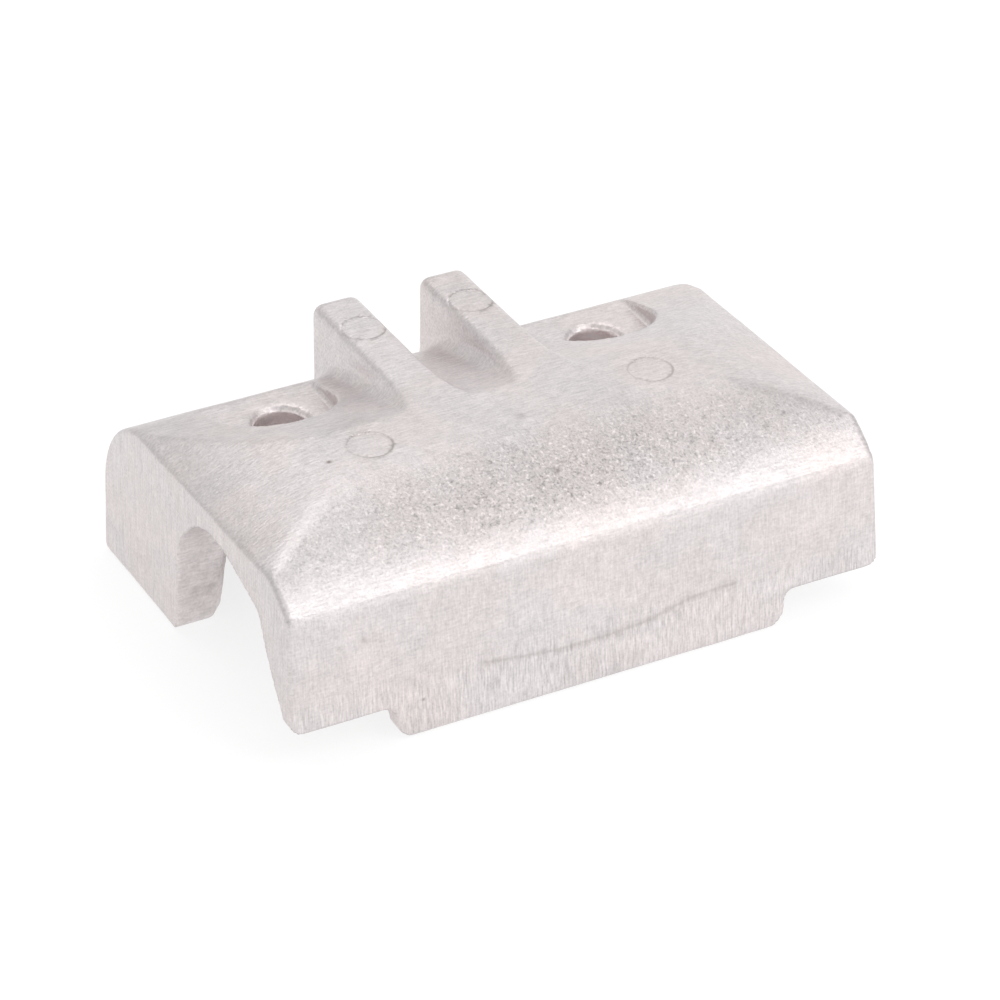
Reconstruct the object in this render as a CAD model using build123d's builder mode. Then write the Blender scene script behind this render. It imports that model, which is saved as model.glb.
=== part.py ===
"""Sacrificial anode for an outboard bracket, cast in aluminium as one piece.

A shallow saddle with a long front arc, a crowned top that falls to the ends and to the
rear, two fins that run back from the crown, and two bolt holes in spot faces beside them.
Underneath, an arch runs through from end to end, and a cavity opens behind it between
two cheeks.

Frame: millimetres. X runs along the length and +X is to the right, seen from the front.
Y runs from the front skirt to the rear wall, and Z is up. The origin is the middle of
the footprint, on the plane that the casting stands on.
"""

from build123d import *
from math import cos, pi, radians, sin, sqrt, tan
import os

# Overall sizes, taken where the faces would meet without their rounded edges
LENGTH = 106.2
DEPTH = 73.0
HEIGHT = 35.7
END_DRAFT = 1.7

# Front skirt and the arc above it
FRONT_LEAN = 6.0
RIDGE_HEIGHT = 25.5
FRONT_ARC_RADIUS = 36.8

# Crown, rear slope and shoulder
CROWN_DEPTH = 6.4
REAR_SLOPE = 15.9
SHOULDER_RADIUS = 15.8

# Ends of the crown, which curve down towards both end faces
END_ARC_RADIUS = 51.0
END_ARC_START = 29.1
END_ARC_SKEW = 2.5

# Tab below the skirt
TAB_LENGTH = 70.0
TAB_HEIGHT = 6.1
TAB_THICKNESS = 3.0
TAB_CORNER_RADIUS = 3.8
TAB_ROOT_RADIUS = 2.0

# Fins
FIN_THICKNESS = 8.4
FIN_GAP = 11.4
FIN_ROOT_RADIUS = 2.5
FIN_CORNER_RADIUS = 2.2
FIN_EDGE_RADIUS = 1.8
FIN_PROUD = 1.5

# Bolt holes and their spot faces, which are open towards the rear
HOLE_SPACING = 58.0
HOLE_DIAMETER = 8.8
HOLE_FROM_REAR = 18.4
HOLE_CHAMFER = 0.9
POCKET_FLOOR = 27.6
POCKET_RADIUS = 10.0
POCKET_DRAFT = 2.0
POCKET_OFFSET = 0.5
POCKET_SETBACK = 1.15

# Arch that runs through under the casting
SKIRT_HEIGHT = 8.5
SKIRT_THICKNESS = 3.2
SKIRT_CORNER_RUN = 2.2
SKIRT_CORNER_RADIUS = 2.4
KNEE_FROM_FRONT = 12.6
KNEE_HEIGHT = 22.1
KNEE_RADIUS = 4.0
ARCH_FRONT_SAGITTA = 0.75
ARCH_ROOF_SLOPE = 16.0
ARCH_CROWN_RADIUS = 14.0
LEG_DEPTH = 29.0
LEG_FOOT_RADIUS = 3.0

# Cavity between the end cheeks, behind the arch
CHEEK_THICKNESS = 8.3
CHEEK_CHAMFER = 1.9
REAR_WALL = 10.0
CAVITY_HEIGHT = 21.5
CAVITY_DRAFT = 8.5
CAVITY_CORNER_RADIUS = 4.0
BOSS_RADIUS = 7.4

# Marks that the ejector pins left on the crown and on the fins
PIN_RADIUS = 3.65
PIN_SPACING = 50.5
PIN_FROM_REAR = 42.8
FIN_PIN_FROM_REAR = 10.0
PIN_DEPTH = 0.15

# Rounded edges
END_EDGE_RADIUS = 1.0
FOOT_RADIUS = 1.2

# How far a cutting shape runs past what it cuts, and how far round an end arc is drawn
OVERCUT = 5.0
END_ARC_SWEEP = 45.0

# Two places nearer than this are the same place
NEAR = 0.01

# Places worked out from the sizes above
front_y = -DEPTH / 2
rear_y = DEPTH / 2
wall_y = rear_y - FIN_PROUD
base_half = LENGTH / 2
top_half = base_half - HEIGHT * tan(radians(END_DRAFT))
ridge_y = front_y + RIDGE_HEIGHT * tan(radians(FRONT_LEAN))
front_arc_z = HEIGHT - FRONT_ARC_RADIUS
crown_front_y = ridge_y + sqrt(FRONT_ARC_RADIUS**2 - (RIDGE_HEIGHT - front_arc_z) ** 2)
crown_rear_y = crown_front_y + CROWN_DEPTH
fin_inner_x = FIN_GAP / 2
fin_outer_x = fin_inner_x + FIN_THICKNESS
fin_middle_x = (fin_inner_x + fin_outer_x) / 2
hole_x = HOLE_SPACING / 2
hole_y = wall_y - HOLE_FROM_REAR
leg_y = wall_y - LEG_DEPTH
knee = (front_y + KNEE_FROM_FRONT, KNEE_HEIGHT)
roof_slope = radians(ARCH_ROOF_SLOPE)
roof_run = leg_y - knee[0]
roof_end = (leg_y, KNEE_HEIGHT + roof_run * tan(roof_slope))
roof_free = roof_run / cos(roof_slope) - 2 * KNEE_RADIUS
crown_radius = min(ARCH_CROWN_RADIUS, roof_free * tan((pi / 2 - roof_slope) / 2))
cavity_front_y = leg_y - crown_radius
tab_inside = (front_y + TAB_THICKNESS, 0)
skirt_inside = (front_y + SKIRT_HEIGHT * tan(radians(FRONT_LEAN)) + SKIRT_THICKNESS, SKIRT_HEIGHT)
cavity_half = base_half - CHEEK_THICKNESS
cavity_rear_y = wall_y - REAR_WALL
past_end = base_half + OVERCUT
sides = (-1, 1)


def end_x(z):
    """Distance from the middle to an end face at height z."""
    return base_half - z * tan(radians(END_DRAFT))


def slope_z(y):
    """Height of the rear slope at y, also where it would run on past the casting."""
    return HEIGHT - (y - crown_rear_y) * tan(radians(REAR_SLOPE))


def rear_air(first_x, last_x, fin_sides):
    """Air above the slope and behind the rear wall, rounded along the root of each fin beside it."""
    start_y = crown_rear_y - 2 * OVERCUT
    start = (start_y, slope_z(start_y))
    foot = (wall_y, -OVERCUT)
    behind_y = rear_y + OVERCUT
    with BuildPart() as air:
        with BuildSketch(Plane.YZ.offset(first_x)):
            with BuildLine():
                FilletPolyline(start, (wall_y, slope_z(wall_y)), foot, radius=SHOULDER_RADIUS)
                Polyline(foot, (behind_y, -OVERCUT), (behind_y, start[1]), start)
            make_face()
        extrude(amount=last_x - first_x)
        for fin_x in fin_sides:
            beside_fin = air.faces().filter_by(Axis.X).sort_by(lambda face: abs(face.center().X - fin_x))[0]
            lower_edges = beside_fin.edges().filter_by(
                lambda edge: edge.center().Y < wall_y + NEAR and abs(edge.tangent_at(0.5).Z) > NEAR
            )
            fillet(lower_edges, radius=FIN_ROOT_RADIUS)
    return air.part


# Air between the fins and air on both sides of them
middle_air = rear_air(-fin_inner_x, fin_inner_x, (-fin_inner_x, fin_inner_x))
right_air = rear_air(fin_outer_x, past_end, (fin_outer_x,))
left_air = rear_air(-past_end, -fin_outer_x, (-fin_outer_x,))

# Front view of the tab, and of the air below the skirt and around its two rounded corners
with BuildSketch() as tab_view:
    with Locations((0, TAB_HEIGHT / 2)):
        Rectangle(TAB_LENGTH, TAB_HEIGHT)
    fillet(tab_view.vertices().group_by(Axis.Y)[0], radius=TAB_CORNER_RADIUS)

with BuildSketch() as below_skirt:
    with Locations((0, (TAB_HEIGHT - OVERCUT) / 2)):
        Rectangle(2 * past_end, TAB_HEIGHT + OVERCUT)
    add(tab_view.sketch, mode=Mode.SUBTRACT)
    fillet(below_skirt.vertices().group_by(Axis.Y)[-1].sort_by(Axis.X)[1:3], radius=TAB_ROOT_RADIUS)
    corner_top = TAB_HEIGHT + SKIRT_CORNER_RUN
    for side in sides:
        corner_in = (side * (end_x(TAB_HEIGHT) - SKIRT_CORNER_RUN), TAB_HEIGHT)
        corner_out = (side * end_x(corner_top), corner_top)
        with BuildLine():
            RadiusArc(corner_in, corner_out, -side * SKIRT_CORNER_RADIUS)
            Polyline(corner_out, (side * past_end, corner_top), (side * past_end, TAB_HEIGHT), corner_in)
        make_face()

with BuildPart() as casting:
    # Side view, with the crown carried back to the rear for the fins
    with BuildSketch(Plane.YZ):
        with BuildLine():
            Polyline((rear_y, HEIGHT), (rear_y, 0), (front_y, 0), (ridge_y, RIDGE_HEIGHT))
            RadiusArc((ridge_y, RIDGE_HEIGHT), (crown_front_y, HEIGHT), FRONT_ARC_RADIUS)
            Line((crown_front_y, HEIGHT), (rear_y, HEIGHT))
        make_face()
    extrude(amount=past_end, both=True)

    # Rear slope and shoulder, which leave the two fins standing
    for air in (middle_air, right_air, left_air):
        add(air, mode=Mode.SUBTRACT)
    fin_tips = casting.edges().filter_by(Axis.X).filter_by(
        lambda edge: edge.center().Y > rear_y - NEAR and edge.center().Z > HEIGHT - NEAR
    )
    fillet(fin_tips, radius=FIN_CORNER_RADIUS)
    fin_long_edges = casting.edges().filter_by(Axis.Y).filter_by(
        lambda edge: edge.center().Z > HEIGHT - NEAR and abs(edge.center().X) < fin_outer_x + NEAR
    )
    fillet(fin_long_edges, radius=FIN_EDGE_RADIUS)

    # Front view: the end faces lean in towards the top
    with BuildSketch(Plane.XZ):
        with BuildLine():
            Polyline((-base_half, 0), (base_half, 0), (top_half, HEIGHT), (-top_half, HEIGHT), close=True)
        make_face()
    extrude(amount=DEPTH, both=True, mode=Mode.INTERSECT)

    # Rounded foot of the rear wall and of both ends, which runs up the rear corners
    base_edges = casting.edges().group_by(Axis.Z)[0]
    foot_edges = base_edges.filter_by(lambda edge: edge.center().Y > 0 or abs(edge.center().X) > top_half)
    fillet(foot_edges, radius=FOOT_RADIUS)

    # Both ends of the crown curve down, a little more towards the rear
    skew = radians(END_ARC_SKEW)
    for side in sides:
        end_plane = Plane(
            origin=(side * END_ARC_START, front_y, 0),
            x_dir=(side * cos(skew), sin(skew), 0),
            z_dir=(sin(skew), -side * cos(skew), 0),
        )
        with BuildSketch(end_plane):
            reach = END_ARC_RADIUS * sin(radians(END_ARC_SWEEP))
            drop = END_ARC_RADIUS * (1 - cos(radians(END_ARC_SWEEP)))
            with BuildLine():
                RadiusArc((0, HEIGHT), (reach, HEIGHT - drop), END_ARC_RADIUS)
                Polyline(
                    (reach, HEIGHT - drop),
                    (reach, -OVERCUT),
                    (-LENGTH, -OVERCUT),
                    (-LENGTH, HEIGHT),
                    (0, HEIGHT),
                )
            make_face()
        extrude(amount=2 * DEPTH, both=True, mode=Mode.INTERSECT)

    # Rounded edges between the end faces and the rest of the outside. The round runs on
    # without a break below the front face, along the edge that becomes the tab's.
    for side in sides:
        flat_faces = casting.faces().filter_by(GeomType.PLANE)
        end_face = flat_faces.sort_by(lambda face: side * face.center().X)[-1]
        outer_edges = end_face.edges().filter_by(lambda edge: edge.center().Z > FOOT_RADIUS)
        fillet(outer_edges, radius=END_EDGE_RADIUS)

    # Step up from the tab to the skirt at both ends
    with BuildSketch(Plane.XZ.offset(OVERCUT - front_y)):
        add(below_skirt.sketch)
    extrude(amount=-(OVERCUT + cavity_front_y - front_y), mode=Mode.SUBTRACT)

    # Arch that runs through from end to end, with a knee in its roof towards the front
    with BuildSketch(Plane.YZ) as arch_view:
        with BuildLine():
            Polyline((tab_inside[0], -OVERCUT), tab_inside, skirt_inside)
            SagittaArc(skirt_inside, knee, -ARCH_FRONT_SAGITTA)
            Polyline(knee, roof_end, (leg_y, LEG_FOOT_RADIUS))
            RadiusArc((leg_y, LEG_FOOT_RADIUS), (leg_y + LEG_FOOT_RADIUS, 0), -LEG_FOOT_RADIUS)
            Polyline(
                (leg_y + LEG_FOOT_RADIUS, 0), (leg_y + LEG_FOOT_RADIUS, -OVERCUT), (tab_inside[0], -OVERCUT)
            )
        make_face()
        fillet(arch_view.vertices().sort_by_distance(knee)[0], radius=KNEE_RADIUS)
        fillet(arch_view.vertices().sort_by_distance(roof_end)[0], radius=crown_radius)
    extrude(amount=past_end, both=True, mode=Mode.SUBTRACT)

    # Cavity between the cheeks, narrower towards its ceiling
    with BuildSketch() as cavity_view:
        cavity_depth = cavity_rear_y - cavity_front_y
        with Locations((0, cavity_rear_y - cavity_depth / 2)):
            Rectangle(2 * cavity_half, cavity_depth)
        fillet(cavity_view.vertices().group_by(Axis.Y)[-1], radius=CAVITY_CORNER_RADIUS)
    extrude(amount=CAVITY_HEIGHT, taper=CAVITY_DRAFT, mode=Mode.SUBTRACT)
    cheek_edges = casting.edges().filter_by(Axis.Y).filter_by(
        lambda edge: abs(edge.center().Z) < NEAR and abs(abs(edge.center().X) - cavity_half) < NEAR
    )
    chamfer(cheek_edges, length=CHEEK_CHAMFER)

    # Bosses that carry the bolts' load down to the base
    with BuildSketch():
        with Locations((-hole_x, hole_y), (hole_x, hole_y)):
            Circle(BOSS_RADIUS)
    extrude(amount=(CAVITY_HEIGHT + POCKET_FLOOR) / 2)

    # Spot faces, open to the rear, and the bolt holes in them
    with BuildSketch(Plane.XY.offset(POCKET_FLOOR)):
        for side in sides:
            pocket_x = side * (hole_x + POCKET_OFFSET)
            with Locations((pocket_x, hole_y + POCKET_SETBACK)):
                Circle(POCKET_RADIUS)
                Rectangle(2 * POCKET_RADIUS, HOLE_FROM_REAR + OVERCUT, align=(Align.CENTER, Align.MIN))
    extrude(amount=HEIGHT - POCKET_FLOOR, taper=-POCKET_DRAFT, mode=Mode.SUBTRACT)
    with Locations((-hole_x, hole_y, POCKET_FLOOR), (hole_x, hole_y, POCKET_FLOOR)):
        Hole(radius=HOLE_DIAMETER / 2)
    hole_rims = casting.edges().filter_by(GeomType.CIRCLE).filter_by(
        lambda edge: abs(edge.radius - HOLE_DIAMETER / 2) < 0.01 and edge.center().Z > CAVITY_HEIGHT
    )
    chamfer(hole_rims, length=HOLE_CHAMFER)

    # Ejector pin marks, slightly sunk
    with BuildSketch(Plane.XY.offset(HEIGHT)):
        with Locations(
            (-PIN_SPACING / 2, wall_y - PIN_FROM_REAR),
            (PIN_SPACING / 2, wall_y - PIN_FROM_REAR),
            (-fin_middle_x, wall_y - FIN_PIN_FROM_REAR),
            (fin_middle_x, wall_y - FIN_PIN_FROM_REAR),
        ):
            Circle(PIN_RADIUS)
    extrude(amount=-PIN_DEPTH, mode=Mode.SUBTRACT)

casting.part.label = "anode_casting"
os.makedirs("parts", exist_ok=True)
export_step(casting.part, "parts/anode_casting.step")
print(f"volume {casting.part.volume / 1000:.1f} cm3, box {casting.part.bounding_box().size}")
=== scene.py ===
# %% [markdown]
# # A cast sacrificial anode
#
# A sacrificial anode is a lump of reactive metal that is bolted to a boat's drive, where it
# corrodes so that the drive doesn't. This one is a die casting: molten aluminium is pressed
# into a steel mould and pushed out again by pins. So it is a single piece with one metal all
# over, and everything that makes it look real is in its skin: a sandy patch where the mould
# was rough, drag marks where the mould's walls slid off, rings from the pins, and small pits.
#
# The shape and the size come from the CAD model. This script gives it that skin in two ways.
# Dents, rings and waves are moved in the mesh, and the grain, which is finer than any mesh
# could hold, is bump and colour in the material.

import math
from collections import namedtuple

import bmesh
import bpy
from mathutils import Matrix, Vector, geometry, noise
from mathutils.bvhtree import BVHTree


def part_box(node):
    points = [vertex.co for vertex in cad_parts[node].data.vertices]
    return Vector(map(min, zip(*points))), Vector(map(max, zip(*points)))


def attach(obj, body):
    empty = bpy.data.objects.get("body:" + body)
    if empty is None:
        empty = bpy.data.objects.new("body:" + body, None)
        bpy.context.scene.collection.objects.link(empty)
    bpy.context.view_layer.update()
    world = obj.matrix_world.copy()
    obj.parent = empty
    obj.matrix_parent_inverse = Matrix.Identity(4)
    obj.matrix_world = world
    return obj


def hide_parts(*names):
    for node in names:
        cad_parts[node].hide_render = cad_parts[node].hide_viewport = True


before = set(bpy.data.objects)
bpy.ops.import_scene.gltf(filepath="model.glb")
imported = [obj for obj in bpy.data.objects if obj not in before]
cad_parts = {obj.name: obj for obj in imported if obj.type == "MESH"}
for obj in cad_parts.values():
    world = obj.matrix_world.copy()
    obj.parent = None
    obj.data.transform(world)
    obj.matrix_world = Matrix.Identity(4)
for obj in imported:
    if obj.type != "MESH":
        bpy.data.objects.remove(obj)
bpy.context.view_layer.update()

# %% [markdown]
# All lengths are in metres, as Blender has them. A millimetre gets a name of its own, because
# the casting's details are written in millimetres on a drawing too.

# %% Units and the casting's own box
MM = 0.001
lowest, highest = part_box("anode_casting")
size = highest - lowest
print(f"The casting is {size.x / MM:.1f} x {size.y / MM:.1f} x {size.z / MM:.1f} mm")

# %% [markdown]
# ## A skin that can be worked
#
# The CAD mesh is loose triangles: long thin ones, with every corner there several times. It
# is the right shape, but it has no vertices in the middle of its faces to push about. The
# mesh could be subdivided, which keeps the thin triangles, or remeshed. A voxel remesh lays
# an even net of small squares over the whole surface, but it cuts across the edges. So the
# net is pulled back onto the CAD mesh afterwards, and split where the surface bends. The
# copy's doubles are merged before the remesh, to close it.

# %% Copy the casting and merge its doubles
MERGE_DISTANCE = 0.0001 * MM

cad_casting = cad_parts["anode_casting"]
casting = bpy.data.objects.new("casting", cad_casting.data.copy())
bpy.context.scene.collection.objects.link(casting)

form = bmesh.new()
form.from_mesh(casting.data)
bmesh.ops.remove_doubles(form, verts=form.verts, dist=MERGE_DISTANCE)
open_edges = [edge for edge in form.edges if not edge.is_manifold]
form.to_mesh(casting.data)
cad_surface = BVHTree.FromBMesh(form)
form.free()
print(len(casting.data.vertices), "vertices,", len(open_edges), "open edges")

# %% Lay an even net over it
NET_SIZE = 0.8 * MM


def apply_modifiers(piece):
    """Makes what the modifiers show the piece's own mesh."""
    depsgraph = bpy.context.evaluated_depsgraph_get()
    shown = bpy.data.meshes.new_from_object(piece.evaluated_get(depsgraph))
    piece.modifiers.clear()
    piece.data = shown


remesh = casting.modifiers.new("even net", "REMESH")
remesh.mode = "VOXEL"
remesh.voxel_size = NET_SIZE
apply_modifiers(casting)
print(len(casting.data.polygons), "faces after the remesh")

skin = bmesh.new()
skin.from_mesh(casting.data)

# %% Pull it back onto the CAD mesh, and split it where it bends
BEND = math.radians(25)


def pull_back():
    """Moves every vertex to the nearest place on the CAD mesh."""
    for vert in skin.verts:
        vert.co = cad_surface.find_nearest(vert.co)[0]
    skin.normal_update()


def bends(face):
    """Whether the skin turns a good way across a face."""
    return any(edge.verts[0].normal.angle(edge.verts[1].normal, 0) > BEND for edge in face.edges)


pull_back()
bent_faces = {face for face in skin.faces if bends(face)}
bent_edges = [edge for edge in skin.edges if not bent_faces.isdisjoint(edge.link_faces)]
bmesh.ops.subdivide_edges(skin, edges=bent_edges, cuts=1, use_grid_fill=True)
pull_back()
print(len(skin.faces), "faces with the finer net along the edges")

# %% [markdown]
# ## Places on the casting
#
# The marks sit where they are on the real casting. Each place is written in millimetres as a
# drawing would give it: across from the middle, back from the front edge of the tab, and up
# from the floor. What comes in pairs, such as the bolt holes, is measured from the rear wall.

# %% A place on the casting
RIDGE_UP = 25.5 * MM
FINS_PROUD = 1.5 * MM

middle = (lowest.x + highest.x) / 2
ridge_z = lowest.z + RIDGE_UP
rear_wall = highest.y - FINS_PROUD
wall_back = (rear_wall - lowest.y) / MM


def place(across, back, up):
    """A point on the casting, from millimetres on the drawing."""
    return Vector((middle + across * MM, lowest.y + back * MM, lowest.z + up * MM))


def pair(across, from_wall, up):
    """Two places that mirror each other, the left one first."""
    return [place(side * across, wall_back - from_wall, up) for side in (-1, 1)]


print(f"The ridge is {RIDGE_UP / MM:.1f} mm up and the rear wall {wall_back:.1f} mm back")

# %% [markdown]
# ## The marks
#
# Four pins pushed the casting out of its mould, and each left a ring: two on the crown and
# one on each fin. Gas bubbles broke open as small pits, each with its own radius, its depth
# and how dark the dirt and the painted shade in it are. On the front face two streams of metal
# met and left a faint wavy line. These places are plain lists, because on the real casting
# they are chance.

# %% Where the marks are
Pit = namedtuple("Pit", "centre radius depth dirt")

PIN_RADIUS = 3.65 * MM
PIN_UP = 35.55

pins = pair(across=25.25, from_wall=42.8, up=PIN_UP) + pair(across=9.9, from_wall=10, up=PIN_UP)
# The last number of each pit is how dark its dirt and painted shade are.
pits = [
    Pit(place(-33.0, 27.3, 35.4), 0.50 * MM, 0.12 * MM, 0.95),
    Pit(place(0.1, 25.6, 35.6), 0.95 * MM, 0.06 * MM, 0.28),
    Pit(place(-0.3, 13.0, 32.5), 0.75 * MM, 0.20 * MM, 0.50),
    Pit(place(1.4, 14.2, 33.1), 0.45 * MM, 0.15 * MM, 0.40),
    Pit(place(-39.7, 2.0, 19.3), 0.70 * MM, 0.15 * MM, 0.28),
    Pit(place(-44.0, 2.0, 19.0), 0.60 * MM, 0.12 * MM, 0.22),
    Pit(place(-30.2, 0.6, 6.1), 0.35 * MM, 0.15 * MM, 0.70),
    Pit(place(-49.5, 42.5, 7.5), 1.00 * MM, 0.15 * MM, 0.30),
    Pit(place(-48.6, 42.5, 15.0), 0.50 * MM, 0.12 * MM, 0.20),
    Pit(place(36.5, 4.2, 20.0), 0.70 * MM, 0.15 * MM, 0.28),
    Pit(place(38.0, 3.5, 14.5), 0.50 * MM, 0.12 * MM, 0.22),
]
flow_line = [
    place(-19.4, 1.0, 9.4),
    place(-13.2, 0.9, 8.6),
    place(-6.1, 0.8, 7.8),
    place(1.1, 0.8, 7.8),
    place(10.1, 0.8, 8.3),
    place(17.5, 1.0, 10.1),
    place(25.8, 1.1, 10.4),
]
print(len(pins), "pins,", len(pits), "pits and a flow line with", len(flow_line), "points")

# %% Distances to the marks
FLOW_BACK = 3 * MM


def rings_near(point):
    """For each pin on the point's level: how far its ring is, and which way the point lies from it."""
    for pin in pins:
        if abs(point.z - pin.z) < MM:
            from_pin = point.xy - pin.xy
            yield abs(from_pin.length - PIN_RADIUS), from_pin.normalized()


def flow_distance(point):
    """The distance from a point on the front to the flow line, and otherwise a long way."""
    if point.y > lowest.y + FLOW_BACK:
        return size.x
    distances = []
    for start, end in zip(flow_line, flow_line[1:]):
        share = geometry.intersect_point_line(point.xz, start.xz, end.xz)[1]
        nearest = start.xz.lerp(end.xz, min(max(share, 0), 1))
        distances.append((point.xz - nearest).length)
    return min(distances)


# %% [markdown]
# ## A finer net at the marks
#
# A pin's ring is a third of a millimetre wide, which falls through a net of almost one. To
# make the whole net that fine would take about a million faces, so only the faces near a mark
# are split, twice, with `subdivide_edges`. The rims of the bolt holes are narrow too and are
# split with them. After each split the new vertices are smoothed, which evens the net out,
# and pulled back, which keeps the shape.

# %% Split the faces near the marks
FINE_BORDER = 0.8 * MM
HOLE_RADIUS = 4.4 * MM
SPLITS = 2

holes = pair(across=29, from_wall=18.4, up=27.2)


def near_rim(point):
    """Whether a point lies on or beside the chamfered rim of a bolt hole."""
    return any(
        abs((point.xy - hole.xy).length - HOLE_RADIUS - FINE_BORDER / 2) < FINE_BORDER
        and abs(point.z - hole.z) < FINE_BORDER
        for hole in holes
    )


def near_mark(point):
    """Whether a point lies close to a ring, a pit, the flow line or the rim of a bolt hole."""
    return (
        any(distance < FINE_BORDER for distance, _ in rings_near(point))
        or any((point - pit.centre).length < pit.radius + FINE_BORDER for pit in pits)
        or flow_distance(point) < FINE_BORDER
        or near_rim(point)
    )


def smooth(vertices):
    """Moves each vertex half of the way to the middle of its neighbours."""
    every_way = {"use_axis_x": True, "use_axis_y": True, "use_axis_z": True}
    bmesh.ops.smooth_vert(skin, verts=vertices, factor=0.5, **every_way)


for _ in range(SPLITS):
    marked = {vert for vert in skin.verts if near_mark(vert.co)}
    marked_edges = [edge for edge in skin.edges if marked.issuperset(edge.verts)]
    bmesh.ops.subdivide_edges(skin, edges=marked_edges, cuts=1, use_grid_fill=True)
    smooth([vert for vert in skin.verts if near_mark(vert.co)])
    pull_back()
print(len(skin.faces), "faces with the finer net at the marks")

# %% [markdown]
# The ridge above the front face is soft on the real casting, and so are the two creases where
# the front arc meets the curve down to each end. A bevel could round them, but it needs clean
# edges to run along, which this net doesn't have. Smoothing the vertices there does the same
# without them: the more rounds, the softer the form. The rims of the holes get two rounds.

# %% Soften the ridge, the creases and the rims
RIDGE_WIDTH = 1.3 * MM
RIDGE_BACK = 5 * MM
CREASES_BACK = 30 * MM
CREASES_ACROSS = 27 * MM
END_BORDER = 2.5 * MM


def on_ridge(vert):
    """Whether a vertex lies on the ridge above the front face."""
    return abs(vert.co.z - ridge_z) < RIDGE_WIDTH and vert.co.y < lowest.y + RIDGE_BACK


def near_crease(vert):
    """Whether a vertex lies on the front part of the crown, towards one of its ends."""
    return (
        vert.co.z > ridge_z + RIDGE_WIDTH
        and vert.co.y < lowest.y + CREASES_BACK
        and CREASES_ACROSS < abs(vert.co.x - middle) < size.x / 2 - END_BORDER
        and vert.normal.z > 0.5
    )


def soften(vertices, rounds):
    """Smooths a few vertices several times over."""
    for _ in range(rounds):
        smooth(vertices)
    print(len(vertices), "vertices smoothed", rounds, "times")


ridge = [vert for vert in skin.verts if on_ridge(vert)]
creases = [vert for vert in skin.verts if near_crease(vert)]
rims = [vert for vert in skin.verts if near_rim(vert.co)]
soften(ridge, rounds=4)
soften(creases, rounds=12)
soften(rims, rounds=2)
skin.normal_update()

# %% [markdown]
# ## Which finish lies where
#
# One metal has several finishes here. The long arc above the front edge is sandy, apart from
# a band along the ridge. The front and the ends were dragged along the mould as the casting
# slid out, straight up and down. The rest has short faint streaks, the walls of the holes are
# drilled bright, with painted light on top, and painted shade makes the hollow underneath a
# little darker. A material could find these areas by itself from the direction that a face
# looks in, but the marks that follow will tilt the faces. So the areas are written down now,
# while the net is still smooth, as a number on each vertex: an attribute, which the material
# reads by its name.

# %% The sandy arc and the drag marks
SAND_THINS_OUT = (12 * MM, 45 * MM)
BAND = (0.5 * MM, 5.5 * MM)
TAB_TOP = (7 * MM, 13 * MM)
FRONT_SKIN = 4 * MM
END_SKIN = 3 * MM


def ramp(value, start, end):
    """0 below start and 1 above end, with a soft passage between them."""
    share = min(max((value - start) / (end - start), 0), 1)
    return share * share * (3 - 2 * share)


def sandy_share(vert):
    """How much of the sandy finish a vertex has: all of it at the middle of the front arc."""
    leans_forward = ramp(-vert.normal.y, 0.02, 0.40)
    faces_up = ramp(vert.normal.z, 0.3, 0.5)
    off_ends = 1 - ramp(abs(vert.normal.x), 0.4, 0.6)
    at_middle = 1 - 0.4 * ramp(abs(vert.co.x - middle), *SAND_THINS_OUT)
    above_band = ramp(vert.co.z - ridge_z, *BAND)
    return leans_forward * faces_up * off_ends * at_middle * (0.25 + 0.75 * above_band)


def dragged_share(vert):
    """How much of the drag marks a vertex has: most on the tab, less on the front and both ends."""
    on_front = ramp(-vert.normal.y, 0.75, 0.95) * (vert.co.y < lowest.y + FRONT_SKIN)
    at_end = abs(vert.co.x - middle) > size.x / 2 - END_SKIN
    on_end = ramp(abs(vert.normal.x), 0.75, 0.95) * at_end
    on_tab = 1 - ramp(vert.co.z - lowest.z, *TAB_TOP)
    return max(on_front * (0.4 + 0.5 * on_tab), 0.45 * on_end)


# %% The hollow's painted shade and the drilled walls' painted light
CROWN_THICKNESS = (7.5 * MM, 11 * MM)
WALL_THICKNESS = (2 * MM, 5 * MM)
DRILLED_WALL = (0.1 * MM, 0.35 * MM)


def hollow_shade_share(vert):
    """How deep inside the casting a vertex lies, which sets the painted shade there: all the way in the
    arch and the cavity.
    """
    below_crown = ramp(highest.z - vert.co.z, *CROWN_THICKNESS)
    from_ends = size.x / 2 - abs(vert.co.x - middle)
    from_outside = min(from_ends, vert.co.y - lowest.y, rear_wall - vert.co.y)
    return below_crown * ramp(from_outside, *WALL_THICKNESS)


def drilled_light_share(vert):
    """Whether a vertex is on the wall of a bolt hole, where a drill has been and painted light brightens
    it.
    """
    from_axes = min((vert.co.xy - hole.xy).length for hole in holes)
    return 1 - ramp(from_axes - HOLE_RADIUS, *DRILLED_WALL)


# %% [markdown]
# The marks get an attribute as well, for the dirt that has settled in them and for the painted
# shade in their dents. It fades out from the middle of a mark as a bell curve does, which has
# no edge where it ends. In the rings the painted shade is thicker on one side, as in the photo,
# so the way from the pin counts too.

# %% Dirt and painted shade in the marks
# The rings, the pits and the flow line hold dirt and painted shade; in the rings the painted shade is
# thicker on the side towards the front right.
RING_WIDTH = 0.20 * MM
RING_DIRT_AND_SHADE = 0.32
RING_SHADE_TO_ONE_SIDE = 0.22
SHADED_SIDE = Vector((0.8, -0.6))
FLOW_WIDTH = 0.4 * MM
FLOW_DIRT_AND_SHADE = 0.26
DARKENED_PART_OF_PIT = 0.8


def bell(distance, width):
    """1 in the middle and almost nothing beyond twice the width."""
    return math.exp(-((distance / width) ** 2))


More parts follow.
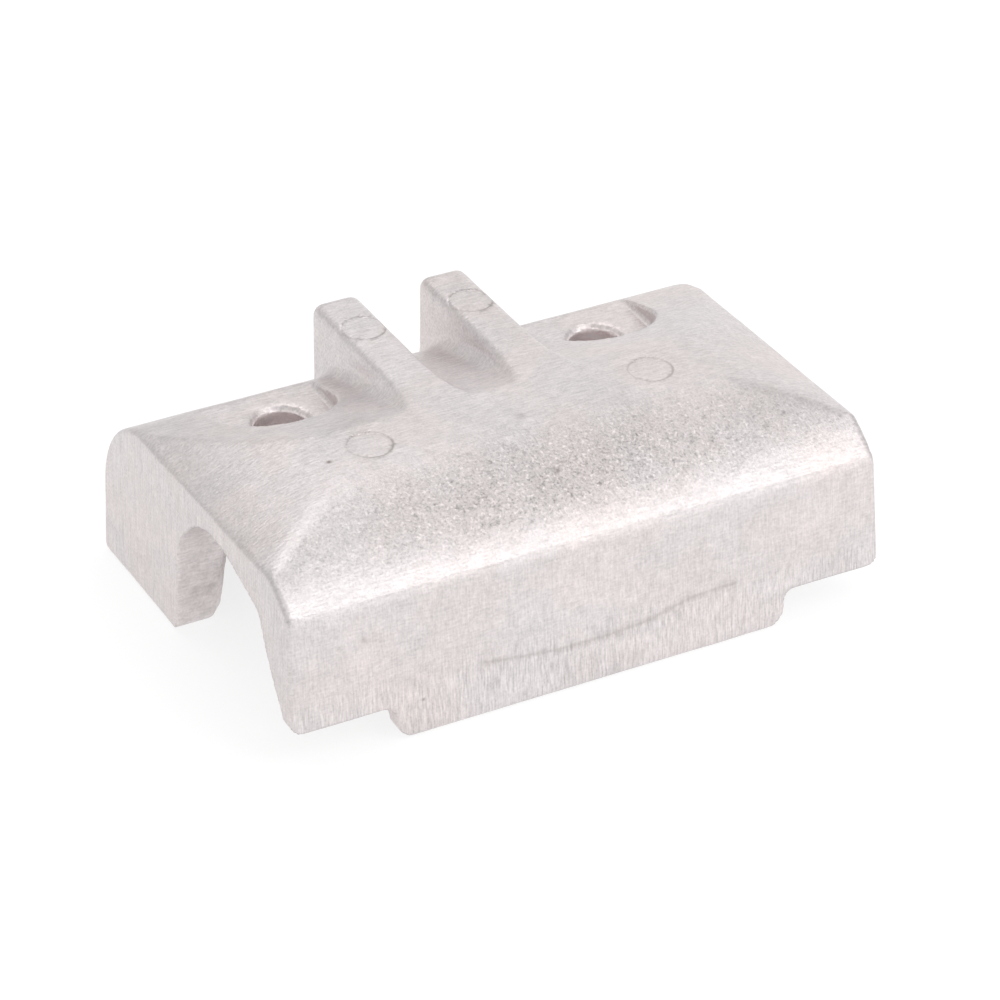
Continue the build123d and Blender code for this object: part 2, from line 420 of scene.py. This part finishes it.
def dirt_and_shade_share(vert):
    """How much dirt and painted shade a vertex has: much in the pits, less in the rings and the flow line.
    """
    point = vert.co
    shares = [FLOW_DIRT_AND_SHADE * bell(flow_distance(point), FLOW_WIDTH)]
    for distance, way in rings_near(point):
        shares.append(bell(distance, RING_WIDTH) * (RING_DIRT_AND_SHADE + RING_SHADE_TO_ONE_SIDE * (way @ SHADED_SIDE)))
    for pit in pits:
        shares.append(pit.dirt * bell((point - pit.centre).length, DARKENED_PART_OF_PIT * pit.radius))
    return max(shares)


# %% Write the finishes on the vertices
def write_on(layer_name, share):
    """Keeps a number between 0 and 1 for every vertex under a name."""
    layer = skin.verts.layers.float.new(layer_name)
    total = 0
    for vert in skin.verts:
        vert[layer] = share(vert)
        total += vert[layer]
    print(layer_name, f"covers {100 * total / len(skin.verts):.1f}% of the skin")


write_on("sandy", sandy_share)
write_on("dragged", dragged_share)
write_on("hollow_shade", hollow_shade_share)
write_on("drilled_and_painted_light", drilled_light_share)
write_on("dirt_and_painted_shade", dirt_and_shade_share)

# %% [markdown]
# ## Marks in the mesh
#
# Each mark is a small dent, and its depth is a bell curve again, so it meets the skin around
# it without a step. The pins left rings, where metal crept round the end of the pin, and the
# pits are gas bubbles that broke open. What the mould's wear did to the whole skin is an
# uneven push, from noise. A sculpting brush could make all this by hand, but numbers can be
# changed and tried again.

# %% Dents, rings and an uneven skin
RING_DEPTH = 0.08 * MM
FLOW_DEPTH = 0.05 * MM
WAVE_LENGTH = 9 * MM
WAVE_HEIGHT = 0.06 * MM
SAND_LENGTH = 1.3 * MM
SAND_HEIGHT = 0.05 * MM

sandy = skin.verts.layers.float["sandy"]


def push(vert):
    """How far a vertex moves along its normal, outwards where it is above zero."""
    point = vert.co
    moved = WAVE_HEIGHT * noise.noise(point / WAVE_LENGTH)
    moved += SAND_HEIGHT * vert[sandy] * noise.noise(point / SAND_LENGTH)
    moved -= RING_DEPTH * sum(bell(distance, RING_WIDTH) for distance, _ in rings_near(point))
    moved -= FLOW_DEPTH * bell(flow_distance(point), FLOW_WIDTH)
    for pit in pits:
        moved -= pit.depth * bell((point - pit.centre).length, pit.radius)
    return moved


skin.normal_update()
moves = [(vert, vert.normal * push(vert)) for vert in skin.verts]
for vert, move in moves:
    vert.co += move
print(f"The deepest dent is {max(move.length for _, move in moves) / MM:.2f} mm")

# %% [markdown]
# The push went outwards in places, and the casting may not become larger than the CAD model.
# So what stands out of the model's box is put back on its side. The faces with four corners
# are split in two here, because a bent square can be split in two ways, and each program
# would choose for itself.

# %% Keep inside the CAD model's box and give the mesh back
for vert in skin.verts:
    for axis in range(3):
        vert.co[axis] = min(max(vert.co[axis], lowest[axis]), highest[axis])
bmesh.ops.triangulate(skin, faces=skin.faces)
skin.to_mesh(casting.data)
skin.free()
casting.data.shade_smooth()
print(len(casting.data.polygons), "triangles")

# %% [markdown]
# ## The metal
#
# Cast aluminium that has never been polished is a metal, but a dull one: its surface is so
# rough that a lamp's reflection spreads all over it. Its colour is a light grey with a touch
# of warmth. The material is built up as the finishes were written down: one metal, and a
# pattern of fine relief and tone for each finish. Nodes could be placed and wired by hand in
# the editor. In a script, a few helpers make a row of them as short to write as a sum.

# %% Helpers for nodes
cast_metal = bpy.data.materials.new("cast_alloy")
cast_metal.use_nodes = True
tree = cast_metal.node_tree
surface = tree.nodes["Principled BSDF"]


def add_node(kind, inputs=(), **settings):
    """A new node. Inputs are pairs of a name and a value, or another node's output."""
    made = tree.nodes.new("ShaderNode" + kind)
    for name, value in settings.items():
        setattr(made, name, value)
    for name, value in inputs:
        if isinstance(value, bpy.types.NodeSocket):
            tree.links.new(value, made.inputs[name])
        else:
            made.inputs[name].default_value = value
    return made


def math_node(operation, first, second):
    """The result of one sum on two values."""
    return add_node("Math", [(0, first), (1, second)], operation=operation).outputs[0]


def times(first, second):
    """Two values multiplied."""
    return math_node("MULTIPLY", first, second)


def plus(first, second):
    """Two values added."""
    return math_node("ADD", first, second)


def area(name):
    """The number that the vertices hold under this name."""
    return add_node("Attribute", attribute_name=name).outputs["Fac"]


sandy_area = area("sandy")
dragged_area = area("dragged")
hollow_shade_area = area("hollow_shade")
drilled_light_area = area("drilled_and_painted_light")
dirt_and_shade_area = area("dirt_and_painted_shade")
plain_area = math_node("SUBTRACT", 1.0, math_node("MAXIMUM", sandy_area, dragged_area))
print(len(tree.nodes), "nodes for the areas")

# %% [markdown]
# A noise texture is the same in all directions. Stretched with a Mapping node, so that it
# changes fast across and slowly along, the same noise becomes streaks. The scales are in
# features for each metre, because Object coordinates are metres here. Each noise starts at
# its own offset, so that no two of them have their spots in the same places.

# %% Fine patterns
coordinates = add_node("TexCoord").outputs["Object"]


def noise_pattern(per_metre, detail, roughness=0.5, offset=0.0):
    """Noise with so many features for each metre along X, Y and Z."""
    place_inputs = [("Vector", coordinates), ("Scale", per_metre), ("Location", (offset,) * 3)]
    placed = add_node("Mapping", place_inputs).outputs[0]
    inputs = [("Vector", placed), ("Scale", 1.0), ("Detail", detail), ("Roughness", roughness)]
    return add_node("TexNoise", inputs).outputs["Fac"]


grain = noise_pattern((2300, 2300, 2300), detail=3, roughness=0.6)
streaks = noise_pattern((480, 2600, 2600), detail=2, offset=3.0)
drags = noise_pattern((3600, 3600, 170), detail=3, offset=7.0)
sand = noise_pattern((2300, 2300, 2300), detail=4, roughness=0.7, offset=11.0)
flakes = noise_pattern((1700, 1700, 1700), detail=3, roughness=0.6, offset=13.0)
grit = noise_pattern((650, 650, 650), detail=4, roughness=0.7, offset=29.0)
patches = noise_pattern((420, 420, 420), detail=4, roughness=0.6, offset=19.0)
clouds = noise_pattern((70, 70, 70), detail=3, offset=17.0)
tints = noise_pattern((60, 60, 60), detail=3, offset=23.0)
print(len(tree.nodes), "nodes with the patterns")

# %% [markdown]
# A Bump node tilts the light on a surface as a relief of a given height would, without moving
# the mesh. The heights of all patterns are added up. Each is multiplied by the area where it
# lies, which is nothing outside it, and by how strong it is.

# %% Relief
RELIEF_HEIGHT = 0.12 * MM
RELIEF_STRENGTH = 0.75

relief = times(grain, 0.5)
relief = plus(relief, times(times(streaks, plain_area), 0.6))
relief = plus(relief, times(times(drags, dragged_area), 0.9))
relief = plus(relief, times(times(sand, sandy_area), 1.3))
relief = plus(relief, times(times(flakes, sandy_area), 0.9))
bump_inputs = [("Height", relief), ("Strength", RELIEF_STRENGTH), ("Distance", RELIEF_HEIGHT)]
bump = add_node("Bump", bump_inputs)
tree.links.new(bump.outputs["Normal"], surface.inputs["Normal"])
print(len(tree.nodes), "nodes with the relief")

# %% [markdown]
# The tone is a number around 1 that makes the metal's colour darker or lighter. Every pattern
# adds a little to it, up or down, in its own area. Most of them swing evenly about their
# middle. The sand has dark grains and bright flakes in it, and each is cut out of a noise by
# the ends of a range: what lies beyond one end counts fully, and beyond the other hardly.

# %% Tone
NOISE_LOW = 0.3
NOISE_HIGH = 0.7


def spread(value, low, high, to_low, to_high):
    """A value's range from low to high, stretched to another range and cut off there."""
    old_range = [("Value", value), ("From Min", low), ("From Max", high)]
    new_range = [("To Min", to_low), ("To Max", to_high)]
    return add_node("MapRange", old_range + new_range).outputs["Result"]


def swing(pattern, to_low, to_high):
    """Nearly the whole range of a noise, stretched to another range."""
    return spread(pattern, NOISE_LOW, NOISE_HIGH, to_low, to_high)


tone = swing(clouds, 0.965, 1.035)
tone = plus(tone, swing(grain, -0.085, 0.085))
tone = plus(tone, times(swing(patches, -0.08, 0.08), plus(0.6, hollow_shade_area)))
tone = plus(tone, times(swing(streaks, -0.09, 0.09), plain_area))
tone = plus(tone, times(swing(drags, -0.20, 0.20), dragged_area))
tone = plus(tone, times(spread(sand, 0.52, 0.32, -0.06, -0.42), sandy_area))
tone = plus(tone, times(spread(grit, 0.44, 0.32, 0.0, -0.28), sandy_area))
tone = plus(tone, times(spread(flakes, 0.54, 0.70, -0.06, 0.30), sandy_area))
# Painted light: the walls of the bolt holes are made brighter, on top of their drilled finish.
tone = plus(tone, times(drilled_light_area, 0.42))
# Painted shade: the hollow underneath is made a little darker.
tone = plus(tone, times(hollow_shade_area, -0.06))
print(len(tree.nodes), "nodes with the tone")

# %% [markdown]
# The colour is a mix of two light greys, a warm one and a cooler one, in clouds of a
# centimetre or two, and the tone scales it. The dirt and the painted shade in the marks are
# mixed in last, so that they cover the metal. Bare metal shows nothing but reflections. This
# one has a thin matt skin of oxide, so it isn't quite all metal, and a roughness that changes
# slowly keeps its sheen from looking the same everywhere.

# %% Colour and sheen
WARM = (0.712, 0.655, 0.645, 1)
COOL = (0.690, 0.650, 0.654, 1)
SHADE_AND_DIRT_COLOUR = (0.20, 0.17, 0.155, 1)
BARE_METAL = 0.85


def mixed(factor, first, second):
    """Two colours mixed: all of the first where the factor is 0, all of the second where it is 1."""
    inputs = [("Factor", factor), ("A", first), ("B", second)]
    return add_node("Mix", inputs, data_type="RGBA").outputs["Result"]


tint = mixed(spread(tints, 0.35, 0.65, 0.0, 1.0), COOL, WARM)
toned = add_node("VectorMath", [(0, tint), ("Scale", tone)], operation="SCALE").outputs[0]
# Dirt and painted shade in the marks are mixed over the metal's colour.
tree.links.new(mixed(dirt_and_shade_area, toned, SHADE_AND_DIRT_COLOUR), surface.inputs["Base Color"])
tree.links.new(swing(clouds, 0.36, 0.46), surface.inputs["Roughness"])
surface.inputs["Metallic"].default_value = BARE_METAL
print(len(tree.nodes), "nodes in the whole material")

# %% [markdown]
# The casting gets its metal, and two calls tie it to the frame: it stands for the CAD
# model's node, which is hidden, and it rides on the body that the node belongs to.

# %% Give the casting its metal and its place in the frame
casting.data.materials.clear()
casting.data.materials.append(cast_metal)
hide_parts("anode_casting")
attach(casting, "root")
print(casting.name, "stands for", cad_casting.name)

# %% [markdown]
# ## The floor
#
# The photo has a white background with no shadow. A white floor in soft light comes out grey,
# so this one glows: its emission is almost enough to be white by itself, and its own colour
# is dark, so that the casting throws only a faint shadow on it.

# %% Floor
FLOOR_HALF_WIDTH = 2
FLOOR_COLOUR = (0.25, 0.25, 0.25, 1)
FLOOR_ROUGHNESS = 0.9
FLOOR_GLOW = 0.78
WHITE = (1, 1, 1, 1)

floor_form = bmesh.new()
bmesh.ops.create_grid(floor_form, x_segments=1, y_segments=1, size=FLOOR_HALF_WIDTH)
floor_mesh = bpy.data.meshes.new("floor")
floor_form.to_mesh(floor_mesh)
floor_form.free()
floor = bpy.data.objects.new("floor", floor_mesh)
floor.location.z = lowest.z
bpy.context.scene.collection.objects.link(floor)

pale = bpy.data.materials.new("pale_floor")
pale.use_nodes = True
pale_surface = pale.node_tree.nodes["Principled BSDF"]
pale_surface.inputs["Base Color"].default_value = FLOOR_COLOUR
pale_surface.inputs["Roughness"].default_value = FLOOR_ROUGHNESS
pale_surface.inputs["Emission Color"].default_value = WHITE
pale_surface.inputs["Emission Strength"].default_value = FLOOR_GLOW
floor.data.materials.append(pale)
print("The floor is", 2 * FLOOR_HALF_WIDTH, "m wide")

# %% [markdown]
# ## The light
#
# A rough metal shows its surroundings as broad soft patches of light, so the room is white
# and the lamps are large squares. The front one makes the bright band along the ridge, the
# top one lights the crown, the low one the front face, and a weak one lifts the right end. A
# lamp's energy is what all of it gives off, so a larger lamp of the same energy looks dimmer.
# Here each lamp is given its radiance instead, which is how bright it looks, and its energy
# follows from its width. The Standard view shows white as white, which Blender's default
# view would turn grey.

# %% Light
ROOM_BRIGHTNESS = 0.73
LAMP_DISTANCE = 0.9

room = bpy.data.worlds.new("white_room")
room.use_nodes = True
room.node_tree.nodes["Background"].inputs["Color"].default_value = WHITE
room.node_tree.nodes["Background"].inputs["Strength"].default_value = ROOM_BRIGHTNESS
bpy.context.scene.world = room
bpy.context.scene.view_settings.view_transform = "Standard"


def softbox(name, direction, width, radiance):
    """A square lamp that shines at the casting from a direction, as bright as its radiance."""
    lamp = bpy.data.lights.new(name, "AREA")
    lamp.size = width
    lamp.energy = radiance * math.pi * width**2
    held = bpy.data.objects.new(name, lamp)
    held.location = Vector(direction).normalized() * LAMP_DISTANCE
    held.rotation_mode = "QUATERNION"
    held.rotation_quaternion = Vector(direction).to_track_quat("Z", "Y")
    bpy.context.scene.collection.objects.link(held)
    print(f"{name} gives off {lamp.energy:.2f} W")


softbox("front_softbox", direction=(0.4, -0.52, 0.74), width=0.55, radiance=1.8)
softbox("top_softbox", direction=(0.0, 0.35, 1.0), width=0.7, radiance=1.1)
softbox("low_softbox", direction=(0.5, -1.0, 0.12), width=0.5, radiance=1.2)
softbox("back_softbox", direction=(0.8, 0.75, 0.25), width=0.8, radiance=0.3)

# %% [markdown]
# ## The camera
#
# The photo was taken from the front, to the left and above, with a long lens, which keeps
# the casting's parallel edges nearly parallel. The camera's place and the ways it looks were
# worked out from those edges. A camera could be aimed with a Track To constraint, but that
# keeps it upright, and the photo's was turned by a little less than a degree. So its ways to
# the right and ahead are both given, and the small turn between them follows.

# %% Camera
CAMERA_PLACE = Vector((-0.27005, -0.4989, 0.37546))
CAMERA_RIGHT = Vector((0.8811, -0.4729, 0.0111)).normalized()
CAMERA_AHEAD = Vector((0.4040, 0.7401, -0.5379)).normalized()
LENS_MM = 148.9
SENSOR_MM = 36

lens = bpy.data.cameras.new("camera")
lens.lens = LENS_MM
lens.sensor_width = SENSOR_MM
camera = bpy.data.objects.new("camera", lens)
upright = CAMERA_AHEAD.to_track_quat("-Z", "Y")
roll = (upright @ Vector((1, 0, 0))).rotation_difference(CAMERA_RIGHT)
camera.rotation_mode = "QUATERNION"
camera.rotation_quaternion = roll @ upright
camera.location = CAMERA_PLACE
bpy.context.scene.collection.objects.link(camera)
bpy.context.scene.camera = camera
print(f"The camera is turned by {math.degrees(roll.angle):.2f} degrees from upright")
